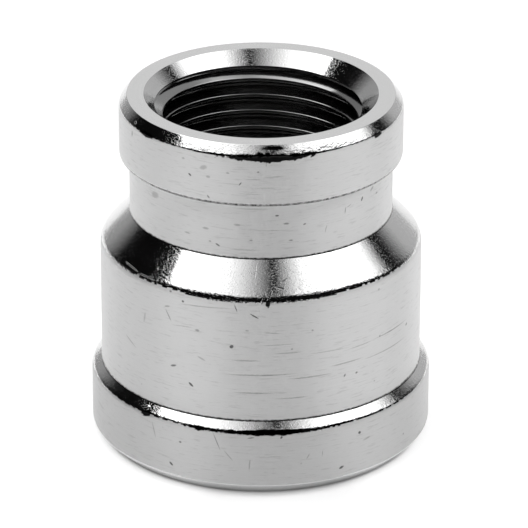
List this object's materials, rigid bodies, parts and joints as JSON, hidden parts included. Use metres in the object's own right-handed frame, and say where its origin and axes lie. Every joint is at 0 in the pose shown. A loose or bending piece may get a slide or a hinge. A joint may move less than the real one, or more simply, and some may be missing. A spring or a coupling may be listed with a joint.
{
  "type": "reducing coupling",
  "caption": "Straight female reducing coupling for pipe: a large threaded socket in a collared body, a conical shoulder and a small threaded socket in a collared neck.",
  "frame": {"origin": "centre of the bottom face, on the axis, at the large socket's mouth", "axes": "+Z along the axis, from the large socket up to the small socket; X and Y are alike, because the body is turned"},
  "size_m": [0.0264, 0.0264, 0.0279],
  "materials": {
    "plated_brass": "nickel plate over brass: fine-turned satin on the walls, polished on the cone, bevel and chamfers"
  },
  "bodies": {
    "root": {"reducing_coupling": "plated_brass"}
  },
  "joints": []
}
